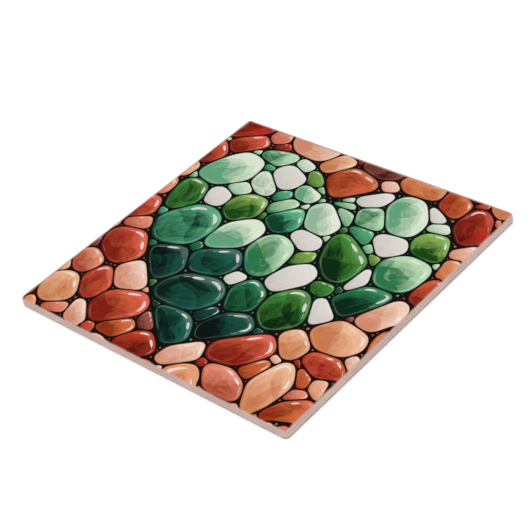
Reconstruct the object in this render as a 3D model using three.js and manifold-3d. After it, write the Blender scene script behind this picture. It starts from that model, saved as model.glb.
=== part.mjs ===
// A square ceramic wall tile with a cushion edge and a keyed back, lying on its back.
// Lengths are millimetres. The origin is the middle of the back, +Z comes out of the glazed face,
// and +Y is the top of the picture on that face.

import * as THREE from "three";
import { mergeVertices } from "three/addons/utils/BufferGeometryUtils.js";
import Module from "manifold-3d";

// The tile's outer form
const SIDE = 152; // a nominal 6 inch tile
const THICKNESS = 5.3;
const EDGE_RADIUS = 2.0; // quarter round from the glazed face into the sides
const CORNER_RADIUS = 2.2; // the square's corners, seen from above
const ARRIS_HEIGHT = 1.0; // slope along the foot of the sides
const ARRIS_INSET = 0.5;
const SHARPEST_CORNER = 0.1; // the least radius that pressed clay and glaze hold

// The keyed back: shallow pockets between ribs, which give the adhesive a hold
const BACK_RIM = 7; // flat land along the back's edges
const RIB_WIDTH = 5;
const LARGEST_PITCH = 24; // from one rib to the next
const POCKET_DEPTH = 0.6;
const POCKET_DRAFT = 0.5; // how far a pocket's walls lean in over its depth
const POCKET_CORNER = 2.5;
const POCKET_OVERLAP = 0.3; // how far the cutting shape starts outside the back

// Facets on the round stretches
const CORNER_STEPS = 8;
const EDGE_STEPS = 8;
const POCKET_CORNER_STEPS = 2;

const GLAZE = { color: 0xbea7a0, roughness: 0.15, metalness: 0 };

// The points of a square with round corners, anticlockwise seen from above
function roundedSquare(half, radius, steps) {
  const points = [];
  for (let corner = 0; corner < 4; corner += 1) {
    const diagonal = (corner + 0.5) * Math.PI / 2;
    const centreX = Math.sign(Math.cos(diagonal)) * (half - radius);
    const centreY = Math.sign(Math.sin(diagonal)) * (half - radius);
    for (let step = 0; step <= steps; step += 1) {
      const angle = (corner + step / steps) * Math.PI / 2;
      const x = centreX + radius * Math.cos(angle);
      const y = centreY + radius * Math.sin(angle);
      points.push(new THREE.Vector2(x, y));
    }
  }
  return points;
}

// A closed body through rounded squares at rising heights, each level { z, half, radius }
function stackOfSquares(levels, steps) {
  const rings = levels.map((level) => roundedSquare(level.half, level.radius, steps));
  const count = rings[0].length;
  const positions = [];
  rings.forEach((ring, index) => {
    ring.forEach((point) => positions.push(point.x, point.y, levels[index].z));
  });

  const faces = [];
  for (let ring = 0; ring < rings.length - 1; ring += 1) {
    for (let place = 0; place < count; place += 1) {
      const lower = ring * count + place;
      const lowerNext = ring * count + (place + 1) % count;
      faces.push(lower, lowerNext, lowerNext + count);
      faces.push(lower, lowerNext + count, lower + count);
    }
  }
  const topStart = (rings.length - 1) * count;
  for (const [a, b, c] of THREE.ShapeUtils.triangulateShape(rings[0], [])) {
    faces.push(a, c, b);
    faces.push(topStart + a, topStart + b, topStart + c);
  }

  const geometry = new THREE.BufferGeometry();
  geometry.setAttribute("position", new THREE.Float32BufferAttribute(positions, 3));
  geometry.setIndex(faces);
  return geometry;
}

// One level of the tile, drawn in from its side by an inset
function tileLevel(z, inset) {
  const radius = Math.max(CORNER_RADIUS - inset, SHARPEST_CORNER);
  return { z, half: SIDE / 2 - inset, radius };
}

function tileBlank() {
  const levels = [tileLevel(0, ARRIS_INSET), tileLevel(ARRIS_HEIGHT, 0)];
  for (let step = 0; step <= EDGE_STEPS; step += 1) {
    const angle = step / EDGE_STEPS * Math.PI / 2;
    const z = THICKNESS - EDGE_RADIUS * (1 - Math.sin(angle));
    levels.push(tileLevel(z, EDGE_RADIUS * (1 - Math.cos(angle))));
  }
  return stackOfSquares(levels, CORNER_STEPS);
}

// The shape cut out of the back for one pocket, wider at its mouth by the draft
function pocketCut(width, x, y) {
  const lean = POCKET_DRAFT / POCKET_DEPTH;
  const mouth = { half: width / 2, radius: POCKET_CORNER };
  const spread = POCKET_OVERLAP * lean;
  const levels = [
    { z: -POCKET_OVERLAP, half: mouth.half + spread, radius: mouth.radius + spread },
    { z: POCKET_DEPTH, half: mouth.half - POCKET_DRAFT, radius: mouth.radius - POCKET_DRAFT },
  ];
  return stackOfSquares(levels, POCKET_CORNER_STEPS).translate(x, y, 0);
}

// Pockets fill the back inside its rim, as many each way from the middle, so that two ribs cross at
// the origin
function pocketCuts() {
  const reach = SIDE / 2 - BACK_RIM + RIB_WIDTH / 2;
  const perHalf = Math.ceil(reach / LARGEST_PITCH);
  const pitch = reach / perHalf;
  const cuts = [];
  for (let column = -perHalf; column < perHalf; column += 1) {
    for (let row = -perHalf; row < perHalf; row += 1) {
      cuts.push(pocketCut(pitch - RIB_WIDTH, (column + 0.5) * pitch, (row + 0.5) * pitch));
    }
  }
  return cuts;
}

const wasm = await Module();
wasm.setup();

function toSolid(geometry) {
  const merged = mergeVertices(geometry);
  const vertProperties = new Float32Array(merged.getAttribute("position").array);
  const triVerts = new Uint32Array(merged.getIndex().array);
  return new wasm.Manifold(new wasm.Mesh({ numProp: 3, vertProperties, triVerts }));
}

function toGeometry(solid) {
  const { vertProperties, triVerts } = solid.getMesh();
  const geometry = new THREE.BufferGeometry();
  geometry.setAttribute("position", new THREE.BufferAttribute(vertProperties, 3));
  geometry.setIndex(new THREE.BufferAttribute(triVerts, 1));
  geometry.computeVertexNormals();
  return geometry;
}

function tile() {
  let solid = toSolid(tileBlank());
  for (const cut of pocketCuts()) {
    solid = solid.subtract(toSolid(cut));
  }
  const mesh = new THREE.Mesh(toGeometry(solid), new THREE.MeshStandardMaterial(GLAZE));
  mesh.name = "tile";
  return mesh;
}

const part = new THREE.Group();
part.add(tile());

export default part;
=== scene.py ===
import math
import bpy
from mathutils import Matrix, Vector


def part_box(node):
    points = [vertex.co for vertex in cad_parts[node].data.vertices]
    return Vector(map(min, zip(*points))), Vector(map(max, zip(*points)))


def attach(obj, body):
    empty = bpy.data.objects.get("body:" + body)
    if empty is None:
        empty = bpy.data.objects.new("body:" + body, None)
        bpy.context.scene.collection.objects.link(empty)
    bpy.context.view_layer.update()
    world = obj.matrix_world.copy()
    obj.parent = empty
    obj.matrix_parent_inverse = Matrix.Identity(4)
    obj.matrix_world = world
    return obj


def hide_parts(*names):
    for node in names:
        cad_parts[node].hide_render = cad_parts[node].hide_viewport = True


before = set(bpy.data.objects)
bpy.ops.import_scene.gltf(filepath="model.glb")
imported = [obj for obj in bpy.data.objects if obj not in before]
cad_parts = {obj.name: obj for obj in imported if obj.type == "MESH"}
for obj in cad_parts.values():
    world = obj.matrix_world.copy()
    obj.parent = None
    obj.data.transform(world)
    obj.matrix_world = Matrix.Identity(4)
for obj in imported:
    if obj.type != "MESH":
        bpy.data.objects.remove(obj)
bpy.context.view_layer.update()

# The looks of a glazed ceramic tile: its printed pebble picture, its bare sides and its keyed back.
# Lengths are metres, and the picture is laid out in shares of the tile's side about its middle.

from types import SimpleNamespace

import bmesh
import bpy
import numpy as np
from mathutils import Matrix, Vector
from mathutils.geometry import delaunay_2d_cdt

# The tile, whose outer sizes come from the frame
LOW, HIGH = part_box("tile")
SIDE = HIGH.x - LOW.x
THICKNESS = HIGH.z - LOW.z
EDGE_RADIUS = 0.0020
EDGE_STEPS = 8
CORNER_RADIUS = 0.0022
CORNER_STEPS = 10
SHARPEST_CORNER = 0.0001
ARRIS_HEIGHT = 0.0010
ARRIS_INSET = 0.0005
FOOT_RADIUS = 0.0002  # softens the arris where it meets the sides and the back
FOOT_EASE = (0.2, 0.3)  # how far in a softened corner's middle point lies, in foot radii
GLAZE_DEPTH = 0.00006  # the printed glaze lies this far above the body

# The keyed back
BACK_RIM = 0.007
RIB_WIDTH = 0.005
POCKETS_ACROSS = 6
POCKET_DEPTH = 0.0006
POCKET_DRAFT = 0.0005
POCKET_CORNER = 0.0025
POCKET_STEPS = 6
LIP_RADIUS = 0.00025
LIP_STEPS = 4
LIP_SPREAD = 0.00012  # how much the rounded lip widens a pocket's mouth on each side

# The printed sheet, unrolled flat: it runs over the rounded edge down to the upright sides
FLAT_HALF = SIDE / 2 - EDGE_RADIUS
WRAP = EDGE_RADIUS * math.pi / 2
SHEET_HALF = FLAT_HALF + WRAP
FOLD_STEPS = 7
SHEET_CORNER = CORNER_RADIUS - EDGE_RADIUS + WRAP
SHEET_CORNER_STEPS = 9
INK_HALF = 1.5 * SIDE  # the ink fills this square until the sheet is trimmed
# The print's shift bares a thin band of glaze along the two far edges, standing in for a painted sheen
PRINT_HALF = FLAT_HALF + 0.0009
PRINT_SHIFT_FOR_SHEEN = (0.0009, -0.0009)  # the print sits a little low and to the right, baring a painted sheen on the far edges

# The pebble layout, in shares of the side
SEED = 11
TONE_SEED = 2
STONE_LINE = 0.0043
HEART_LINE = 0.0050
LAYOUT_HALF = 0.61
LAYOUT_SAMPLES = 220
LAYOUT_ROUNDS = 34
HEART_SIZES = ((9, 0.090), (13, 0.066), (9, 0.046), (9, 0.030))  # how many, of which mean radius
FIELD_SIZES = ((27, 0.083), (26, 0.064), (12, 0.044), (22, 0.030))
SIZE_SPREAD = (0.88, 1.12)
STONE_ASPECT = (1.05, 1.85)
LEAST_ROOM = 0.0006  # a cell that holds a smaller circle than this stays empty
FILLER_ROOM = 0.0075  # a gap with this much room takes a small stone, and a smaller gap a dot
DOT_ROOM = 0.0024
GAP_STEP = 0.004
GAP_REACH = 0.53
NEAR = 0.09
FACING = 0.1  # the outline walls in a stone that it faces by this share of the reach
AT_ONCE = 4000  # points that are tested together

# How the stones settle: each round moves, turns and grows them by a part of what they lack
PLACE_TRIES = 160
MOVE_SHARE = 0.85
TURN_PULL = 0.6
GROWTH_POWER = 0.22
GROWTH_LIMITS = (0.5, 2.0)

# A small stone settles in its gap in a few moves, each a share of the way to its cell's middle
GAP_MOVES = 2
GAP_MOVE = 0.7

# How far walls are looked for round a stone, in its radii or in the sum of two stones' radii
NEIGHBOUR_REACH = 3.2
HEART_REACH = 2.5
CELL_REACH = 3

# How far corners are worn, as a share of the largest circle that the stone's cell holds
STONE_WEAR = (0.36, 0.66)
FILLER_WEAR = (0.35, 0.6)
DOT_WEAR = 0.8
DOT_SHRINK = (0.40, 0.75)

# How finely stones are drawn: points round the outline, smoothing passes, and rings in millimetres
STONE_FINENESS = (64, 9)
FILLER_FINENESS = (36, 4)
DOT_FINENESS = (14, 2)
CORNER_POINTS = 7
WEAR_HALVINGS = 9
RINGS = (0.0, 0.35, 0.8, 1.4, 2.2, 3.4, 5.0, 8.0)
RINGS_REACH = 0.85  # the innermost ring stays within this share of the way to the middle

# Where the painted light comes from, in the picture's plane
PAINTED_LIGHT = Vector((0.50, 0.866, 0.0))

# Dark and light tones, for heights in the heart from 0 to 1, or with their weights in the field
HEART_TONES = (
    ("02140f", "144f42", 0.00, 0.42),
    ("041f17", "1d6751", 0.00, 0.50),
    ("052a18", "25814f", 0.10, 0.66),
    ("062a0c", "4c9138", 0.18, 0.74),
    ("174811", "8db855", 0.42, 0.86),
    ("07402a", "5bbb85", 0.35, 0.82),
    ("2c7a4a", "bde2b8", 0.50, 1.00),
    ("66a87e", "e3f0d6", 0.62, 1.00),
    ("98bd9c", "eef4e2", 0.70, 1.00),
)
WHITE_TONE = ("cbc5bd", "ebe7e0")
WHITE_STONES = 10
WHITE_HEIGHT = 0.33
WHITE_LARGEST = 0.062
FIELD_TONES = (
    ("620c08", "c03520", 2.5),
    ("861b10", "dd5a3e", 4.0),
    ("95300f", "db6c40", 1.8),
    ("b65629", "ef9d6f", 2.0),
    ("b04a33", "ee9479", 4.0),
    ("cf7d50", "f7be9a", 2.5),
    ("d98f72", "f9d2be", 3.2),
    ("4c1613", "ad5d50", 0.8),
)
HEIGHT_WANDER = 0.06
REPEAT_WEIGHT = 0.15  # how readily a stone repeats a near neighbour's tone
HEART_DOTS = (("16352a", "7fa392"), ("0d281d", "4d7a63"))
FIELD_DOTS = (("4a2a26", "b08a84"), ("3a1512", "8a4a40"))

# Colours of the ink, the bare glaze, the back and the highlights
HEART_INK = "04100c"
FIELD_INK = "1a0805"
BARE_GLAZE = "cdb0a7"
BARE_SHADE = "c0a39a"
# The foot's colour is bare clay, darkened further as painted contact shade
FOOT_WITH_CONTACT_SHADE = "6c6058"
BARE_SPECK = "8d7a70"
BISQUE = "d9cdbf"
BISQUE_SHADE = "c9b9a8"
BISQUE_SAND = "ece3d8"
BISQUE_SPECK = "8f7766"
BISQUE_DUST = "a8947f"
INK_WEAR = "3a2a24"
HIGHLIGHT = "f1eee6"
WHITE = "ffffff"

# How strongly stones show flat planes and white highlights
PLANES_FROM = 0.006  # metres of radius
FIELD_PLANES = 0.75
WHITE_SHINE = 0.12

# The photograph's camera, in degrees, sides of the tile, and millimetres
AZIMUTH, ELEVATION, ROLL = 48.29, 38.28, -11.70
DISTANCE = 4.240
TARGET = (-0.0011, -0.0070, 0.0)
LENS, SENSOR = 102.04, 36.0

FLOOR_HALF = 3.0
FLOOR_DROP = 0.00005  # keeps the floor out of the plane of the tile's back


def square(half):
    """The corners of a square round the middle, anticlockwise."""
    return np.array([(-half, -half), (half, -half), (half, half), (-half, half)])


def from_upper_right(half):
    """A square's corners, anticlockwise from the upper right one."""
    return np.roll(square(half), 2, axis=0)


def heart_outline(count):
    """Points round a heart whose notch is up, clockwise from the notch."""
    turn = np.linspace(0, 2 * math.pi, count, endpoint=False)
    across = 0.366 * np.sin(turn) ** 3 + 0.097 * np.sin(turn)
    rise = 0.425 * np.cos(turn) - 0.117 * np.cos(2 * turn)
    ripple = 0.063 * np.cos(3 * turn) + 0.015 * np.cos(4 * turn)
    return np.column_stack([across, 0.058 + rise - ripple])


HEART = heart_outline(360)


def inside(points, outline):
    """True for each point that lies inside a closed outline."""
    ax, ay = outline.T
    bx, by = np.roll(outline, -1, axis=0).T
    rise = np.where(by == ay, 1.0, by - ay)
    found = []
    for part in np.array_split(points, 1 + len(points) // AT_ONCE):
        x, y = part[:, :1], part[:, 1:]
        crosses = (ay > y) != (by > y)
        found.append((crosses & (x < ax + (y - ay) * (bx - ax) / rise)).sum(axis=1) % 2 == 1)
    return np.concatenate(found)


def spread(random, sizes, ground):
    """Places for stones on the ground's points, well apart, the largest first, and their radii."""
    radii = np.concatenate([np.full(count, radius) for count, radius in sizes])
    radii = radii * random.uniform(*SIZE_SPREAD, len(radii))
    places = np.empty((0, 2))
    for number, radius in enumerate(radii):
        tries = ground[random.integers(0, len(ground), PLACE_TRIES)]
        if number:
            gaps = np.linalg.norm(tries[:, None] - places[None], axis=2)
            tries = tries[[(gaps / (radius + radii[:number])).min(axis=1).argmax()]]
        places = np.vstack([places, tries[:1]])
    return places, radii


def ellipse_measures(angle, aspect, radius):
    """Matrices that turn a way from a stone's middle into shares of its elliptic radius."""
    cosine, sine = np.cos(angle), np.sin(angle)
    long = radius * np.sqrt(aspect)
    short = radius / np.sqrt(aspect)
    first = np.stack([cosine / long, sine / long], axis=-1)
    second = np.stack([-sine / short, cosine / short], axis=-1)
    return np.stack([first, second], axis=-2)


def mean_of(value, owner, held):
    """The mean of a value over what each stone holds."""
    return np.bincount(owner, value, len(held)) / held


def settle(random, sizes, ground, cell):
    """Stones that share out the ground: each moves to the middle of what it holds, and turns to lie
    along it, while its radius grows or shrinks until it holds its own share."""
    places, radii = spread(random, sizes, ground)
    count = len(radii)
    target = radii ** 2 / (radii ** 2).sum() * len(ground) * cell
    aspect = random.uniform(*STONE_ASPECT, count)
    angle = random.uniform(0, math.pi, count)
    radius = np.sqrt(target / math.pi)
    for _ in range(LAYOUT_ROUNDS):
        measures = ellipse_measures(angle, aspect, radius)
        ways = [(ground - place) @ measure.T for place, measure in zip(places, measures)]
        owner = np.argmin([(way ** 2).sum(axis=1) for way in ways], axis=0)
        held = np.maximum(np.bincount(owner, minlength=count), 1)
        middle = np.column_stack([mean_of(ground[:, axis], owner, held) for axis in (0, 1)])
        x, y = (ground - middle[owner]).T
        xx, yy, xy = (mean_of(value, owner, held) for value in (x ** 2, y ** 2, x * y))
        lie = np.arctan2(2 * xy, xx - yy)
        angle = np.angle(np.exp(2j * angle) + TURN_PULL * np.exp(1j * lie)) / 2
        places = places + MOVE_SHARE * (middle - places)
        radius = radius * np.clip(target / (held * cell), *GROWTH_LIMITS) ** GROWTH_POWER
    return places, radius, ellipse_measures(angle, aspect, radius)


def neighbour_walls(places, radius, measures):
    """For each stone, the straight walls between it and the others, as normals and reaches. A wall
    lies where the two stones' ellipses would touch, so both keep to their own side of it."""
    walls = [[] for _ in places]
    for one in range(len(places)):
        for other in range(one + 1, len(places)):
            way = places[other] - places[one]
            if np.linalg.norm(way) > NEIGHBOUR_REACH * (radius[one] + radius[other]):
                continue
            first = np.linalg.norm(measures[one] @ way)
            second = np.linalg.norm(measures[other] @ way)
            at = places[one] + second / (first + second) * way
            slopes = []
            for stone in (one, other):
                step = measures[stone] @ (at - places[stone])
                slopes.append(measures[stone].T @ step / np.linalg.norm(step))
            normal = (slopes[0] - slopes[1]) / np.linalg.norm(slopes[0] - slopes[1])
            walls[one].append((normal, at @ normal - STONE_LINE / 2))
            walls[other].append((-normal, -(at @ normal) - STONE_LINE / 2))
    return walls


def feet_on(points, outline):
    """For each point, its nearest place on each side of a closed outline."""
    side = np.roll(outline, -1, axis=0) - outline
    share = ((points[:, None] - outline) * side).sum(axis=2) / (side ** 2).sum(axis=1)
    return outline + np.clip(share, 0, 1)[..., None] * side


def rim_distance(points, outline):
    """How far each point is from the nearest side of an outline."""
    return np.linalg.norm(points[:, None] - feet_on(points, outline), axis=2).min(axis=1)


def wall_toward(place, feet, reach, line):
    """A wall short of the nearest foot by a line's width, in a list, or no wall beyond the reach."""
    way = feet - place
    far = np.linalg.norm(way, axis=1)
    nearest = far.argmin()
    if far[nearest] > reach:
        return []
    normal = way[nearest] / far[nearest]
    return [(normal, feet[nearest] @ normal - line)]


def heart_walls(place, within, reach):
    """Walls that keep a stone at this place on its own side of the heart's outline."""
    feet = feet_on(place[None], HEART)[0]
    if not within:
        right = feet[:, 0] > 0
        walls = wall_toward(place, feet[right], reach, HEART_LINE / 2)
        return walls + wall_toward(place, feet[~right], reach, HEART_LINE / 2)
    walls = wall_toward(place, feet, reach, HEART_LINE / 2)
    way = HEART - place
    step = np.roll(HEART, -1, axis=0) - np.roll(HEART, 1, axis=0)
    normal = np.column_stack([-step[:, 1], step[:, 0]])
    normal = normal / np.linalg.norm(normal, axis=1)[:, None]
    faces_it = (way * normal).sum(axis=1) > FACING * reach
    for number in np.nonzero(faces_it & (np.linalg.norm(way, axis=1) < reach))[0]:
        walls.append((normal[number], HEART[number] @ normal[number] - HEART_LINE / 2))
    return walls


def cut(polygon, normal, reach):
    """The part of a convex polygon that lies behind a wall."""
    over = polygon @ normal - reach
    kept = []
    for number in range(len(polygon)):
        after = (number + 1) % len(polygon)
        if over[number] <= 0:
            kept.append(polygon[number])
        if (over[number] <= 0) != (over[after] <= 0):
            share = over[number] / (over[number] - over[after])
            kept.append(polygon[number] + share * (polygon[after] - polygon[number]))
    return np.array(kept).reshape(-1, 2)


def walled(walls, place, reach, inset=0.0):
    """The convex cell between the walls, each moved in by the inset, or None if nothing is left."""
    polygon = square(reach) + place
    for normal, far in walls:
        polygon = cut(polygon, normal, far - inset)
        if len(polygon) < 3:
            return None
    return polygon


def even_steps(outline, count):
    """The outline again with its points at even steps along it."""
    ring = np.vstack([outline, outline[:1]])
    along = np.concatenate([[0], np.cumsum(np.linalg.norm(np.diff(ring, axis=0), axis=1))])
    places = np.linspace(0, along[-1], count, endpoint=False)
    return np.column_stack([np.interp(places, along, ring[:, axis]) for axis in (0, 1)])


def worn_outline(walls, place, reach, share, fineness):
    """A pebble's outline: the cell between the walls with its corners worn to a share of the largest
    circle that it holds, then smoothed along its length. None if the cell has no room."""
    room, too_much = 0.0, reach
    for _ in range(WEAR_HALVINGS):
        middle = (room + too_much) / 2
        if walled(walls, place, reach, middle) is None:
            too_much = middle
        else:
            room = middle
    wear = share * room
    core = walled(walls, place, reach, wear)
    if core is None or room < LEAST_ROOM:
        return None
    points = []
    for before, corner, after in zip(np.roll(core, 1, 0), core, np.roll(core, -1, 0)):
        one, two = corner - before, after - corner
        if min(np.linalg.norm(one), np.linalg.norm(two)) < 1e-9:
            continue
        start = math.atan2(-one[0], one[1])
        turn = (math.atan2(-two[0], two[1]) - start) % (2 * math.pi)
        for angle in start + np.linspace(0, turn, CORNER_POINTS):
            points.append(corner + wear * np.array([math.cos(angle), math.sin(angle)]))
    if len(points) < 6:
        return None
    count, smoothing = fineness
    ring = even_steps(np.array(points), count)
    for _ in range(smoothing):
        ring = (np.roll(ring, 1, axis=0) + 2 * ring + np.roll(ring, -1, axis=0)) / 4
    return ring


def area_and_middle(outline):
    """The area inside an anticlockwise outline, and its middle."""
    after = np.roll(outline, -1, axis=0)
    turn = outline[:, 0] * after[:, 1] - after[:, 0] * outline[:, 1]
    area = turn.sum() / 2
    return area, ((outline + after) * turn[:, None]).sum(axis=0) / (6 * area)


def main_stones(random):
    """The larger stones of the heart and of the field round it."""
    line = np.linspace(-LAYOUT_HALF, LAYOUT_HALF, LAYOUT_SAMPLES)
    grid = np.stack(np.meshgrid(line, line), axis=-1).reshape(-1, 2)
    cell = (line[1] - line[0]) ** 2
    within = inside(grid, HEART)
    stones = []
    for sizes, heart in ((HEART_SIZES, True), (FIELD_SIZES, False)):
        places, radius, measures = settle(random, sizes, grid[within == heart], cell)
        for number, walls in enumerate(neighbour_walls(places, radius, measures)):
            place, size = places[number], radius[number]
            walls = walls + heart_walls(place, heart, HEART_REACH * size)
            share = random.uniform(*STONE_WEAR)
            outline = worn_outline(walls, place, CELL_REACH * size, share, STONE_FINENESS)
            if outline is not None:
                stones.append({"outline": outline, "heart": heart, "kind": "stone"})
    return stones


def window(points, outline, margin):
    """The numbers of the points in an outline's box, widened by a margin."""
    low, high = outline.min(axis=0) - margin, outline.max(axis=0) + margin
    return np.nonzero((points > low).all(axis=1) & (points < high).all(axis=1))[0]


def gap_grid(stones):
    """Points in the gaps between stones, which side of the heart's outline they are on, and how much
    room each has round it."""
    line = np.arange(-GAP_REACH, GAP_REACH, GAP_STEP)
    grid = np.stack(np.meshgrid(line, line), axis=-1).reshape(-1, 2)
    free = np.ones(len(grid), bool)
    for stone in stones:
        near = window(grid, stone["outline"], 0)
        free[near[inside(grid[near], stone["outline"])]] = False
    grid = grid[free]
    room = np.full(len(grid), np.inf)
    for point in HEART:
        room = np.minimum(room, np.linalg.norm(grid - point, axis=1))
    room = room - HEART_LINE / 2
    for stone in stones:
        take_room(grid, room, stone["outline"])
    return grid, inside(grid, HEART), room


def take_room(grid, room, outline):
    """Lowers the room of the points near an outline to what it leaves them."""
    near = window(grid, outline, NEAR / 2)
    if len(near):
        far = rim_distance(grid[near], outline) - STONE_LINE
        far[inside(grid[near], outline)] = 0
        room[near] = np.minimum(room[near], far)


def walls_round(place, stones, heart):
    """Walls between a place in a gap and what lies round it."""
    walls = heart_walls(place, heart, NEAR)
    for stone in stones:
        if len(window(place[None], stone["outline"], NEAR)):
            walls += wall_toward(place, feet_on(place[None], stone["outline"])[0], NEAR, STONE_LINE)
    return walls


def gap_stone(random, place, room, stones, heart):
    """A small stone or a dot for the gap at a place, or None if it would be too thin."""
    dot = room < FILLER_ROOM
    walls = walls_round(place, stones, heart)
    for _ in range(0 if dot else GAP_MOVES):
        polygon = walled(walls, place, NEAR / 2)
        if polygon is None:
            return None
        place = place + GAP_MOVE * (area_and_middle(polygon)[1] - place)
        walls = walls_round(place, stones, heart)
    share = DOT_WEAR if dot else random.uniform(*FILLER_WEAR)
    fineness = DOT_FINENESS if dot else FILLER_FINENESS
    outline = worn_outline(walls, place, NEAR / 2, share, fineness)
    if outline is None:
        return None
    if dot:
        middle = outline.mean(axis=0)
        outline = middle + (outline - middle) * random.uniform(*DOT_SHRINK)
    return {"outline": outline, "heart": heart, "kind": "dot" if dot else "filler"}


def lay_stones():
    """The whole picture's stones: the main ones, then the gaps filled from the widest down."""
    random = np.random.default_rng(SEED)
    stones = main_stones(random)
    grid, heart, room = gap_grid(stones)
    while room.max() > DOT_ROOM:
        at = room.argmax()
        stone = gap_stone(random, grid[at], room[at], stones, bool(heart[at]))
        if stone:
            stones.append(stone)
            take_room(grid, room, stone["outline"])
        room[at] = 0
    return stones


def measure(stones):
    """Notes each stone's middle, its radius and its height in the heart."""
    low, high = HEART[:, 1].min(), HEART[:, 1].max()
    for stone in stones:
        area, stone["middle"] = area_and_middle(stone["outline"])
        stone["radius"] = math.sqrt(area / math.pi)
        stone["height"] = (stone["middle"][1] - low) / (high - low)


def distance(one, other):
    """How far apart two stones' middles are."""
    return np.linalg.norm(one["middle"] - other["middle"])


def may_be_white(stone):
    """True for the heart's smaller main stones, away from its tip."""
    fits = stone["height"] > WHITE_HEIGHT and stone["radius"] < WHITE_LARGEST
    return stone["heart"] and stone["kind"] == "stone" and fits


def pick_whites(stones):
    """Makes some of the heart's stones white, each as far from the other white ones as can be."""
    for stone in stones:
        stone["white"] = False
    choice = [stone for stone in stones if may_be_white(stone)]
    whites = []
    for _ in range(min(WHITE_STONES, len(choice))):
        room = [min((distance(stone, white) for white in whites), default=1.0) for stone in choice]
        whites.append(choice.pop(int(np.argmax(room))))
        whites[-1]["white"] = True


def tone_options(random, stone):
    """The tones that a stone may take, and their weights."""
    if not stone["heart"]:
        return [tone[:2] for tone in FIELD_TONES], np.array([tone[2] for tone in FIELD_TONES])
    height = stone["height"] + random.normal(0, HEIGHT_WANDER)
    options = [tone[:2] for tone in HEART_TONES if tone[2] <= height <= tone[3]]
    options = options or [HEART_TONES[0 if height < 0.5 else -1][:2]]
    return options, np.ones(len(options))


def give_tones(stones):
    """Picks each stone's luck for the brush work, and its tone."""
    random = np.random.default_rng(TONE_SEED)
    for stone in stones:
        stone["luck"] = random.uniform()
    toned = []
    for stone in stones:
        if stone["white"]:
            stone["tone"] = WHITE_TONE
        elif stone["kind"] == "dot":
            stone["tone"] = (HEART_DOTS if stone["heart"] else FIELD_DOTS)[random.integers(2)]
        else:
            options, weights = tone_options(random, stone)
            near = sorted(toned, key=lambda other: distance(other, stone))
            used = [other["tone"] for other in near[:3]]
            weights = weights * [REPEAT_WEIGHT if option in used else 1.0 for option in options]
            stone["tone"] = options[random.choice(len(options), p=weights / weights.sum())]
            toned.append(stone)


def brush_strength(stone):
    """How strongly a stone shows flat planes and white highlights, each from 0 to 1."""
    planes = 1.0 if stone["heart"] else FIELD_PLANES
    if stone["white"] or stone["radius"] * SIDE < PLANES_FROM:
        planes = 0.0
    shine = WHITE_SHINE if stone["white"] else 1.0
    if stone["kind"] == "dot":
        shine = 0.0
    return planes, shine


def linear(code):
    """A linear colour with alpha from a six-digit sRGB code."""
    values = [int(code[place:place + 2], 16) / 255 for place in (0, 2, 4)]
    return [v / 12.92 if v <= 0.04045 else ((v + 0.055) / 1.055) ** 2.4 for v in values] + [1.0]


def flat_fill(outer, holes):
    """Triangles between an outer outline and the holes in it. Vertices count through the outer
    outline first and then through the holes in turn."""
    loops = [outer] + holes
    starts = np.cumsum([0] + [len(loop) for loop in loops])
    faces = [list(range(start, end)) for start, end in zip(starts[:-1], starts[1:])]
    points = [Vector(point) for loop in loops for point in loop.tolist()]
    found = delaunay_2d_cdt(points, [], faces, 1, 1e-9)
    source = [origin[0] for origin in found[3]]
    return [[source[v] for v in face] for face, origin in zip(found[2], found[5]) if origin == [0]]


def ring_faces(start, count, rings):
    """Quads between rings of points, each ring inside the one before it, and triangles to a middle."""
    faces = []
    for ring in range(rings - 1):
        for place in range(count):
            one = start + ring * count + place
            two = start + ring * count + (place + 1) % count
            faces.append([one, two, two + count, one + count])
    last = start + (rings - 1) * count
    middle = last + count
    faces += [[last + place, last + (place + 1) % count, middle] for place in range(count)]
    return faces


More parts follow.
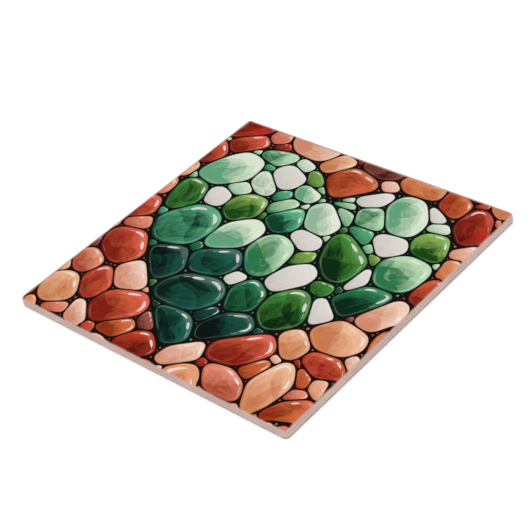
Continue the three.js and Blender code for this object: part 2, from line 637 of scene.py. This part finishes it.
class PrintedSheet:
    """The printed sheet's vertices, faces and painted values while it is still unrolled flat."""

    VALUES = ("stone_at", "stone_lie", "stone_luck", "ink_side")
    TONES = ("stone_dark", "stone_light")

    def __init__(self):
        self.points, self.faces = [], []
        self.values = {name: [] for name in self.VALUES}
        self.tones = {name: [] for name in self.TONES}
        self.count = 0

    def add(self, points, at, lie, luck, heart, tone):
        """Adds points with what the paint needs to know at each."""
        self.points.append(points)
        self.values["stone_at"].append(at)
        self.values["stone_lie"].append(lie)
        self.values["stone_luck"].append(np.tile(luck, (len(points), 1)))
        self.values["ink_side"].append(np.tile([float(heart), 0, 0], (len(points), 1)))
        for name, code in zip(self.TONES, tone):
            self.tones[name].append(np.tile(linear(code), (len(points), 1)))
        self.count += len(points)

    def add_stone(self, stone):
        """Adds a stone as rings of points from its rim to its middle."""
        outline = stone["outline"] * SIDE
        middle = stone["middle"] * SIDE
        radius = stone["radius"] * SIDE
        off = outline - middle
        least = np.linalg.norm(off, axis=1).min()
        insets = [inset / 1000 for inset in RINGS if inset / 1000 < RINGS_REACH * least]
        if stone["kind"] == "dot":
            insets = insets[:1]
        rings = [middle + off * (1 - inset / radius) for inset in insets] + [middle[None]]
        points = np.vstack(rings)
        local = (points - middle) / radius
        spin = np.linalg.eigh(off.T @ off)[1][:, ::-1]
        rim = rim_distance(points, outline) * 1000
        at = np.column_stack([local, rim])
        lie = np.column_stack([local @ spin, np.full(len(points), radius * 1000)])
        self.faces += ring_faces(self.count, len(outline), len(insets))
        luck = [stone["luck"], *brush_strength(stone)]
        self.add(points, at, lie, luck, stone["heart"], stone["tone"])

    def add_ink(self, stones, rims):
        """Fills round the stones, out to a square beyond the tile."""
        corners = square(INK_HALF)
        outer = self.count + np.arange(4)
        blank = np.zeros((4, 3))
        self.add(corners, blank, blank, [0, 0, 0], False, FIELD_TONES[0][:2])
        numbers = np.concatenate([outer] + rims)
        faces = flat_fill(corners, [stone["outline"] * SIDE for stone in stones])
        self.stone_faces = len(self.faces)
        self.faces += [[int(numbers[v]) for v in face] for face in faces]

    def mesh(self, name):
        """The flat sheet as a mesh, with the stones' faces in the first material."""
        points = np.vstack(self.points)
        made = bpy.data.meshes.new(name)
        flat = np.column_stack([points, np.zeros(len(points))])
        made.from_pydata(flat.tolist(), [], self.faces)
        is_ink = [int(face >= self.stone_faces) for face in range(len(self.faces))]
        made.polygons.foreach_set("material_index", is_ink)
        for label, parts in self.values.items():
            layer = made.attributes.new(label, "FLOAT_VECTOR", "POINT")
            layer.data.foreach_set("vector", np.vstack(parts).ravel())
        for label, parts in self.tones.items():
            layer = made.attributes.new(label, "FLOAT_COLOR", "POINT")
            layer.data.foreach_set("color", np.vstack(parts).ravel())
        return made


def sheet_stones(stones):
    """The stones that reach onto the unrolled sheet."""
    edge = SHEET_HALF / SIDE
    return [stone for stone in stones if (abs(stone["outline"]).max(axis=1) < edge).any()]


def heading(angle):
    """The way that an angle points, level with the floor."""
    return Vector((math.cos(angle), math.sin(angle), 0))


def trim_and_score(mesh):
    """Cuts the flat sheet to the tile's unrolled outline, and scores it along the folds so that it
    can bend over the edge."""
    work = bmesh.new()
    work.from_mesh(mesh)

    def slice_at(place, normal, drop):
        geometry = work.verts[:] + work.edges[:] + work.faces[:]
        bmesh.ops.bisect_plane(
            work, geom=geometry, dist=1e-8, plane_co=place, plane_no=normal, clear_outer=drop
        )

    for quarter in range(4):
        way = heading(quarter * math.pi / 2)
        slice_at(way * SHEET_HALF, way, True)
        for step in range(FOLD_STEPS):
            slice_at(way * (FLAT_HALF + WRAP * step / FOLD_STEPS), way, False)
    for quarter, corner in enumerate(from_upper_right(SHEET_HALF - SHEET_CORNER)):
        centre = Vector((*corner, 0))
        for step in range(1, SHEET_CORNER_STEPS):
            way = heading((quarter + step / SHEET_CORNER_STEPS) * math.pi / 2)
            slice_at(centre + way * SHEET_CORNER, way, True)
    work.to_mesh(mesh)
    work.free()


def bend_over_edge(mesh):
    """Bends the flat sheet over the tile's rounded edge, and notes in millimetres how far each point
    lies past the end of the print."""
    flat = np.zeros(len(mesh.vertices) * 3)
    mesh.vertices.foreach_get("co", flat)
    flat = flat.reshape(-1, 3)[:, :2]
    core = CORNER_RADIUS - EDGE_RADIUS
    over = np.maximum(abs(flat) - (FLAT_HALF - core), 0)
    length = np.linalg.norm(over, axis=1)
    past = np.clip(length - core, 0, WRAP)
    way = np.sign(flat) * over / np.maximum(length, 1e-12)[:, None]
    angle = past / EDGE_RADIUS
    shift = EDGE_RADIUS * np.sin(angle) - np.maximum(length - core, 0)
    place = flat + way * shift[:, None]
    height = THICKNESS - EDGE_RADIUS * (1 - np.cos(angle))
    mesh.vertices.foreach_set("co", np.column_stack([place, height]).ravel())
    # Past the shifted print the far edges show bare glaze, which stands in for a painted sheen
    past_print = (abs(flat - PRINT_SHIFT_FOR_SHEEN) - PRINT_HALF).max(axis=1)
    layer = mesh.attributes.new("past_print", "FLOAT", "POINT")
    layer.data.foreach_set("value", past_print * 1000)
    corner_vertex = np.zeros(len(mesh.loops), int)
    mesh.loops.foreach_get("vertex_index", corner_vertex)
    across = (flat[corner_vertex] + SHEET_HALF) / (2 * SHEET_HALF)
    mesh.uv_layers.new(name="OFBake").data.foreach_set("uv", across.ravel())


def place_piece(name, mesh, materials):
    """Puts a finished mesh in the scene as the tile's own piece."""
    mesh.validate()
    mesh.shade_smooth()
    for material in materials:
        mesh.materials.append(material)
    piece = bpy.data.objects.new(name, mesh)
    bpy.context.scene.collection.objects.link(piece)
    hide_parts("tile")
    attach(piece, "root")


def make_face(materials):
    """The printed sheet: stones and ink laid out flat, trimmed, and bent over the tile's edge."""
    stones = lay_stones()
    measure(stones)
    pick_whites(stones)
    give_tones(stones)
    stones = sheet_stones(stones)
    sheet = PrintedSheet()
    rims = []
    for stone in stones:
        rims.append(sheet.count + np.arange(len(stone["outline"])))
        sheet.add_stone(stone)
    sheet.add_ink(stones, rims)
    mesh = sheet.mesh("tile_face")
    trim_and_score(mesh)
    bend_over_edge(mesh)
    place_piece("tile_face", mesh, materials)


def rounded_square(half, radius, steps):
    """Points round a square with round corners, anticlockwise seen from above."""
    points = []
    for quarter, (x, y) in enumerate(from_upper_right(half - radius)):
        for step in range(steps + 1):
            angle = (quarter + step / steps) * math.pi / 2
            points.append((x + radius * math.cos(angle), y + radius * math.sin(angle)))
    return np.array(points)


def body_levels():
    """Heights and insets down the body's outside, from under the printed sheet to the back."""
    inner = EDGE_RADIUS - GLAZE_DEPTH
    top = THICKNESS - EDGE_RADIUS
    levels = []
    for step in range(EDGE_STEPS + 1):
        angle = math.pi / 2 * (1 - step / EDGE_STEPS)
        levels.append((top + inner * math.sin(angle), EDGE_RADIUS - inner * math.cos(angle)))
    levels.append((top, 0.0))
    foot = FOOT_RADIUS
    upper, lower = (foot * ease for ease in FOOT_EASE)
    levels += [(ARRIS_HEIGHT + foot, 0.0), (ARRIS_HEIGHT, upper)]
    levels += [(foot, ARRIS_INSET * (1 - foot / ARRIS_HEIGHT)), (lower, ARRIS_INSET + lower)]
    levels.append((0.0, ARRIS_INSET + foot))
    return levels


def pocket_profile():
    """Heights and insets from a pocket's mouth over its lip and down its leaning wall to the floor."""
    lean = math.atan2(POCKET_DEPTH, POCKET_DRAFT)
    profile = []
    for step in range(LIP_STEPS + 1):
        angle = lean * step / LIP_STEPS
        profile.append((LIP_RADIUS * (1 - math.cos(angle)), LIP_RADIUS * math.sin(angle)))
    height, inset = profile[-1]
    rise = POCKET_DEPTH - 2 * height
    inset = inset + rise / math.tan(lean)
    for step in range(LIP_STEPS + 1):
        angle = lean * (1 - step / LIP_STEPS)
        round_height = POCKET_DEPTH - LIP_RADIUS * (1 - math.cos(angle))
        profile.append((round_height, inset + LIP_RADIUS * (math.sin(lean) - math.sin(angle))))
    return profile


def outer_shell():
    """Points and faces of the body's top and sides, and the outline of its back."""
    points = []
    for height, inset in body_levels():
        radius = max(CORNER_RADIUS - inset, SHARPEST_CORNER)
        outline = rounded_square(SIDE / 2 - inset, radius, CORNER_STEPS)
        points += [(x, y, height) for x, y in outline]
    count = len(outline)
    faces = [list(range(count))]
    for ring in range(len(points) // count - 1):
        for place in range(count):
            one = ring * count + place
            two = ring * count + (place + 1) % count
            faces.append([one, one + count, two + count, two])
    return points, faces, outline


def make_body(materials):
    """The body under the printed sheet, with its upright sides and its keyed back."""
    points, faces, outline = outer_shell()
    sides = len(faces)
    land = list(range(len(points) - len(outline), len(points)))
    profile = pocket_profile()
    pitch = 2 * (SIDE / 2 - BACK_RIM + RIB_WIDTH / 2) / POCKETS_ACROSS
    half = (pitch - RIB_WIDTH) / 2 + LIP_SPREAD
    mouths = []
    for column in range(POCKETS_ACROSS):
        for row in range(POCKETS_ACROSS):
            centre = (np.array([column, row]) + 0.5 - POCKETS_ACROSS / 2) * pitch
            start = len(points)
            for height, inset in profile:
                ring = rounded_square(half - inset, POCKET_CORNER - inset, POCKET_STEPS) + centre
                points += [(x, y, height) for x, y in ring]
            points.append((centre[0], centre[1], POCKET_DEPTH))
            mouths.append(rounded_square(half, POCKET_CORNER, POCKET_STEPS) + centre)
            faces += [face[::-1] for face in ring_faces(start, len(ring), len(profile))]
            land += range(start, start + len(ring))
    faces += [[land[v] for v in face][::-1] for face in flat_fill(outline, mouths)]

    mesh = bpy.data.meshes.new("tile_body")
    mesh.from_pydata(points, [], faces)
    mesh.polygons.foreach_set("material_index", [int(face >= sides) for face in range(len(faces))])
    place_piece("tile_body", mesh, materials)


class Value:
    """A number or colour that a shader works out at each point. Sums and products add its nodes."""

    def __init__(self, shader, socket):
        self.shader, self.socket = shader, socket

    def __add__(self, other):
        return self.shader.math("ADD", self, other)

    def __sub__(self, other):
        return self.shader.math("SUBTRACT", self, other)

    def __mul__(self, other):
        return self.shader.math("MULTIPLY", self, other)

    def __truediv__(self, other):
        return self.shader.math("DIVIDE", self, other)

    __radd__ = __add__
    __rmul__ = __mul__


class Shader:
    """Short calls that add nodes to a material or a world and join them."""

    def __init__(self, owner, surface="Principled BSDF"):
        owner.use_nodes = True
        self.owner, self.tree = owner, owner.node_tree
        self.surface = self.tree.nodes[surface]

    def fill(self, socket, value):
        """Joins a value to a socket, or sets a plain number or a colour on it."""
        if isinstance(value, Value):
            self.tree.links.new(value.socket, socket)
        else:
            socket.default_value = linear(value) if isinstance(value, str) else value

    def set(self, name, value):
        """Sets or drives one of the surface's own sockets."""
        self.fill(self.surface.inputs[name], value)

    def node(self, kind, inputs=(), output=0, **settings):
        """Adds a node and gives one of its outputs."""
        made = self.tree.nodes.new(kind)
        for key, value in settings.items():
            setattr(made, key, value)
        for socket, value in inputs:
            self.fill(made.inputs[socket], value)
        return Value(self, made.outputs[output])

    def math(self, operation, *values, clamp=False):
        return self.node("ShaderNodeMath", enumerate(values), operation=operation, use_clamp=clamp)

    def rise(self, value, low, high):
        """0 below low, 1 above high, and a smooth step between."""
        inputs = (("Value", value), ("From Min", low), ("From Max", high))
        return self.node("ShaderNodeMapRange", inputs, "Result", interpolation_type="SMOOTHSTEP")

    def vector(self, x, y, z):
        return self.node("ShaderNodeCombineXYZ", enumerate((x, y, z)))

    def parts(self, vector):
        made = self.tree.nodes.new("ShaderNodeSeparateXYZ")
        self.fill(made.inputs[0], vector)
        return [Value(self, socket) for socket in made.outputs]

    def attribute(self, name, output="Vector"):
        return self.node("ShaderNodeAttribute", output=output, attribute_name=name)

    def place(self, kind="Object"):
        return self.node("ShaderNodeTexCoord", output=kind)

    def noise(self, place, scale, detail, rough=0.5, warp=0.0):
        inputs = (("Vector", place), ("Scale", scale), ("Detail", detail), ("Roughness", rough),
                  ("Distortion", warp))
        return self.node("ShaderNodeTexNoise", inputs, "Fac")

    def mix(self, share, first, second):
        """A colour mix; share 0 gives the first."""
        inputs = ((0, share), (6, first), (7, second))
        return self.node("ShaderNodeMix", inputs, 2, data_type="RGBA")

    def bump(self, height, distance):
        inputs = (("Strength", 1.0), ("Distance", distance), ("Height", height))
        self.set("Normal", self.node("ShaderNodeBump", inputs))


def new_paint(name):
    return Shader(bpy.data.materials.new(name))


def bare_glaze_colour(shader):
    """Pinkish taupe glaze with soft clouds and fine specks."""
    place = shader.place()
    clouds = shader.rise(shader.noise(place, 55, 3), 0.3, 0.7)
    specks = shader.rise(shader.noise(place, 1500, 1), 0.66, 0.74)
    return shader.mix(0.25 * specks, shader.mix(clouds, BARE_GLAZE, BARE_SHADE), BARE_SPECK)


def glaze_gloss(shader):
    """The clear glossy coat: a low waviness keeps its reflections from being perfect."""
    shader.set("Roughness", 0.09)
    shader.set("IOR", 1.5)
    place = shader.place()
    shader.bump(shader.noise(place, 60, 1) + 0.22 * shader.noise(place, 420, 1), 0.00005)


def fade_print(shader, printed):
    """The print thins out over the rounded edge into the bare glaze; on the far edges it ends sooner,
    and the bared glaze there stands in for a painted sheen.
    """
    wander = 0.5 * shader.noise(shader.place(), 260, 2) - 0.25
    faded = shader.rise(shader.attribute("past_print", "Fac") + wander, -0.55, 0.55)
    return shader.mix(faded, printed, bare_glaze_colour(shader))


def stone_measures(shader):
    """What the sheet says about a point on a stone, and the brush marks that its paint shares."""
    stone = SimpleNamespace()
    stone.u, stone.v, stone.rim = shader.parts(shader.attribute("stone_at"))
    stone.along, stone.across, stone.radius = shader.parts(shader.attribute("stone_lie"))
    stone.luck, stone.planes, stone.shine = shader.parts(shader.attribute("stone_luck"))
    stone.heart = shader.parts(shader.attribute("ink_side"))[0]
    stone.dark = shader.attribute("stone_dark", "Color")
    stone.light = shader.attribute("stone_light", "Color")

    length = shader.math("SQRT", stone.u * stone.u + stone.v * stone.v)
    length = shader.math("MAXIMUM", length, 0.02)
    stone.way = (stone.u / length, stone.v / length)
    stone.depth = stone.rim / stone.radius
    stone.toward = PAINTED_LIGHT.x * stone.u + PAINTED_LIGHT.y * stone.v

    stone.spot = shader.vector(37 * stone.luck + stone.u, 91 * stone.luck + stone.v, stone.luck)
    stone.washes = shader.noise(stone.spot, 1.1, 3, 0.55, 0.6)
    layer = 7 * stone.depth + 61 * stone.luck
    around = shader.vector(1.2 * stone.way[0], 1.2 * stone.way[1], layer)
    stone.turns = shader.noise(around, 1.0, 3)
    return stone


def stone_tone(shader, stone):
    """Where a point's paint lies between the stone's dark and light: washes, strokes along the stone
    and round its rim, and flat planes and dishes with clean edges."""
    combed = shader.vector(1.5 * stone.along, 7.5 * stone.across, 23 * stone.luck)
    strokes = shader.noise(combed, 1.0, 3)
    grain = shader.noise(stone.spot, 14, 3, 0.7)
    tone = 0.38 * stone.toward + 0.62
    for marks, amount in ((stone.washes, 0.56), (strokes, 0.48), (stone.turns, 0.60), (grain, 0.22)):
        tone = tone + amount * (marks - 0.5)

    sweep = shader.noise(stone.spot, 0.8, 0) + 0.10 * stone.washes
    dish_edge = stone.depth - 0.40 * stone.toward + (sweep - 0.55)
    for edge, amount in ((0.16, -0.24), (0.46, -0.22)):
        dish = shader.rise(dish_edge, edge - 0.015, edge + 0.025)
        tone = tone + amount * dish * stone.planes
    for turn, edge, amount in ((0.0, -0.05, 0.32), (2.2, 0.15, -0.30)):
        angle = 2 * math.pi * stone.luck + turn
        side = stone.u * shader.math("COSINE", angle) + stone.v * shader.math("SINE", angle)
        plane = shader.rise(side + 1.6 * (sweep - 0.55), edge - 0.02, edge + 0.02)
        tone = tone + amount * plane * stone.planes
    rim_shade = shader.rise(stone.rim, 1.5, 0.2) * (-0.22 * stone.toward + 0.10)
    return shader.math("SUBTRACT", tone, rim_shade, clamp=True)


def wandering_hue(shader, stone, colour):
    """Swings the hue a little over the stone, more in the heart than in the field."""
    wash = shader.noise(stone.spot, 1.9, 2, 0.5, 0.8)
    hue = (wash - 0.46) * (0.07 * stone.heart + 0.035) + 0.5
    return shader.node("ShaderNodeHueSaturation", (("Hue", hue), ("Color", colour)))


def rim_line(shader, stone, colour):
    """A thin lighter line just inside the rim, broken where the brush lifted."""
    off_line = shader.math("ABSOLUTE", stone.rim - (0.060 * stone.radius + 0.20))
    line = shader.rise(0.022 * stone.radius + 0.12 - off_line, -0.22, 0.20)
    amount = 0.22 * stone.toward + (1.6 * stone.turns - 0.50)
    amount = amount * (0.50 * stone.heart + 0.45)
    line = shader.math("MULTIPLY", line, amount, clamp=True)
    return shader.mix(line, colour, shader.mix(0.16, stone.light, WHITE))


def streak(shader, stone, turn, spread_angle, inset, width, softness):
    """A tapering streak that follows the rim. It is centred on an angle turned from the light, runs
    to the spread angle on both sides, and lies at an inset with a half width, both as shares of the
    stone's radius."""
    angle = turn + math.atan2(PAINTED_LIGHT.y, PAINTED_LIGHT.x)
    aim = stone.way[0] * shader.math("COSINE", angle) + stone.way[1] * shader.math("SINE", angle)
    body = stone.radius * width * shader.rise(aim, math.cos(spread_angle), 1.0)
    off = shader.math("ABSOLUTE", stone.rim - stone.radius * inset)
    return shader.rise(body - off, 0.0, softness)


def highlights(shader, stone, colour):
    """White streaks near the rim, and a broad pale glow toward the light."""
    offset = 0.7 * stone.luck - 0.35
    first = shader.rise(stone.luck, 0.02, 0.22)
    second = shader.rise(stone.luck, 0.98, 0.78)
    streaks = (
        (0.60, 0.42, 0.18, 0.060, first),
        (-0.42, 0.38, 0.19, 0.066, second),
        (1.15, 0.22, 0.16, 0.020, 0.55),
        (-1.00, 0.26, 0.15, 0.020, 0.60),
        (3.10, 0.50, 0.10, 0.014, 0.22),
    )
    for turn, spread_angle, inset, width, amount in streaks:
        mask = streak(shader, stone, offset + turn, spread_angle, inset, width, 0.14)
        colour = shader.mix(mask * amount * stone.shine * 0.92, colour, HIGHLIGHT)
    glow = streak(shader, stone, offset, 1.1, 0.20, 0.20, 2.4)
    pale = shader.mix(0.28, stone.light, WHITE)
    return shader.mix(0.28 * glow * stone.shine, colour, pale)


def stone_paint():
    """Brushed stones, each darkened by the ink at its very rim, under the clear glaze."""
    shader = new_paint("printed_stones")
    stone = stone_measures(shader)
    colour = shader.mix(stone_tone(shader, stone), stone.dark, stone.light)
    colour = wandering_hue(shader, stone, colour)
    colour = rim_line(shader, stone, colour)
    colour = highlights(shader, stone, colour)
    ink = shader.mix(stone.heart, FIELD_INK, HEART_INK)
    inner = 0.75 * shader.rise(stone.rim, 0.0, 0.26) + 0.25
    shader.set("Base Color", fade_print(shader, shader.mix(inner, ink, colour)))
    glaze_gloss(shader)
    return shader.owner


def ink_paint():
    """The near-black lines between the stones, warm in the field and green-black in the heart."""
    shader = new_paint("printed_lines")
    side = shader.parts(shader.attribute("ink_side"))[0]
    wear = shader.rise(shader.noise(shader.place(), 700, 2), 0.5, 0.8)
    ink = shader.mix(0.14 * wear, shader.mix(side, FIELD_INK, HEART_INK), INK_WEAR)
    shader.set("Base Color", fade_print(shader, ink))
    glaze_gloss(shader)
    return shader.owner


def bare_glaze():
    """The sides' bare glaze, which ends in a dry foot: bare clay, darkened further as painted contact
    shade.
    """
    shader = new_paint("bare_glaze")
    place = shader.place()
    height = shader.parts(place)[2] + (0.0006 * shader.noise(place, 300, 3) - 0.0003)
    glazed = shader.rise(height, ARRIS_HEIGHT * 0.9, ARRIS_HEIGHT * 1.25)
    # Below the glaze the foot's dark colour is partly bare clay and partly painted contact shade
    shader.set("Base Color", shader.mix(glazed, FOOT_WITH_CONTACT_SHADE, bare_glaze_colour(shader)))
    shader.set("Roughness", -0.69 * glazed + 0.85)
    shader.set("Specular IOR Level", 0.47 * glazed + 0.03)
    shader.set("IOR", 1.5)
    shader.bump(shader.noise(place, 90, 2) + 0.25 * shader.noise(place, 900, 2), 0.00012)
    return shader.owner


def bisque():
    """The unglazed back: dry, buff and sandy, with rubbed ribs and dustier pockets."""
    shader = new_paint("bisque")
    place = shader.place()
    clouds = shader.rise(shader.noise(place, 38, 4, 0.6), 0.3, 0.72)
    sand = shader.noise(place, 2200, 3, 0.7)
    specks = shader.rise(shader.noise(place, 1100, 1), 0.68, 0.74)
    colour = shader.mix(clouds, BISQUE, BISQUE_SHADE)
    colour = shader.mix(0.35 * shader.rise(sand, 0.35, 0.7), colour, BISQUE_SAND)
    colour = shader.mix(0.55 * specks, colour, BISQUE_SPECK)
    height = shader.parts(place)[2] + (0.0004 * shader.noise(place, 160, 3) - 0.0002)
    dust = shader.rise(height, 0.0001, POCKET_DEPTH)
    shader.set("Base Color", shader.mix(0.40 * dust, colour, BISQUE_DUST))
    shader.set("Roughness", 0.92)
    shader.bump(sand + 0.8 * shader.noise(place, 500, 3), 0.00010)
    return shader.owner


def make_camera():
    """A long lens from the tile's lower right, tipped a little, as the photograph was taken."""
    azimuth, elevation, roll = (math.radians(angle) for angle in (AZIMUTH, ELEVATION, ROLL))
    target = Vector(TARGET) * SIDE
    back = Vector((
        math.sin(azimuth) * math.cos(elevation),
        -math.cos(azimuth) * math.cos(elevation),
        math.sin(elevation),
    ))
    level = heading(azimuth)
    upward = back.cross(level)
    right = level * math.cos(roll) + upward * math.sin(roll)
    up = upward * math.cos(roll) - level * math.sin(roll)
    place = target + back * DISTANCE * SIDE
    data = bpy.data.cameras.new("camera")
    data.lens = LENS
    data.sensor_width = SENSOR
    data.clip_start = 0.01
    camera = bpy.data.objects.new("camera", data)
    turn = Matrix((right, up, back)).transposed().to_4x4()
    camera.matrix_world = Matrix.Translation(place) @ turn
    bpy.context.scene.collection.objects.link(camera)
    bpy.context.scene.camera = camera


def make_light(name, place, size, power):
    """A soft square light that faces the tile's middle. It is polarised, as lights for shooting glazed
    ware are, so it leaves no glare of its own in the glaze."""
    data = bpy.data.lights.new(name, "AREA")
    data.shape = "SQUARE"
    data.size = size
    data.energy = power
    light = bpy.data.objects.new(name, data)
    place = Vector(place)
    turn = place.to_track_quat("Z", "Y").to_matrix().to_4x4()
    light.matrix_world = Matrix.Translation(place) @ turn
    light.visible_glossy = False
    bpy.context.scene.collection.objects.link(light)


def make_stage():
    """A plain pale floor, soft light from above and from the near corner, and a low bright sky."""
    mesh = bpy.data.meshes.new("floor")
    mesh.from_pydata([(x, y, 0.0) for x, y in square(FLOOR_HALF)], [], [[0, 1, 2, 3]])
    floor = bpy.data.objects.new("floor", mesh)
    floor.location.z = -FLOOR_DROP
    bpy.context.scene.collection.objects.link(floor)
    shader = new_paint("floor")
    shader.set("Base Color", (0.86, 0.86, 0.86, 1.0))
    shader.set("Emission Color", WHITE)
    shader.set("Emission Strength", 0.35)
    shader.set("Roughness", 1.0)
    mesh.materials.append(shader.owner)

    make_light("overhead", (0.1, -0.1, 1.4), 2.4, 31.0)
    make_light("near_fill", (1.1, -1.1, 0.9), 1.0, 5.0)
    sky = Shader(bpy.data.worlds.new("studio"), "Background")
    upward = sky.parts(sky.place("Generated"))[2]
    sky.set("Strength", -0.75 * sky.rise(upward, 0.05, 0.30) + 0.80)
    sky.set("Color", WHITE)
    bpy.context.scene.world = sky.owner
    bpy.context.scene.view_settings.view_transform = "Standard"


make_camera()
make_stage()
make_face([stone_paint(), ink_paint()])
make_body([bare_glaze(), bisque()])
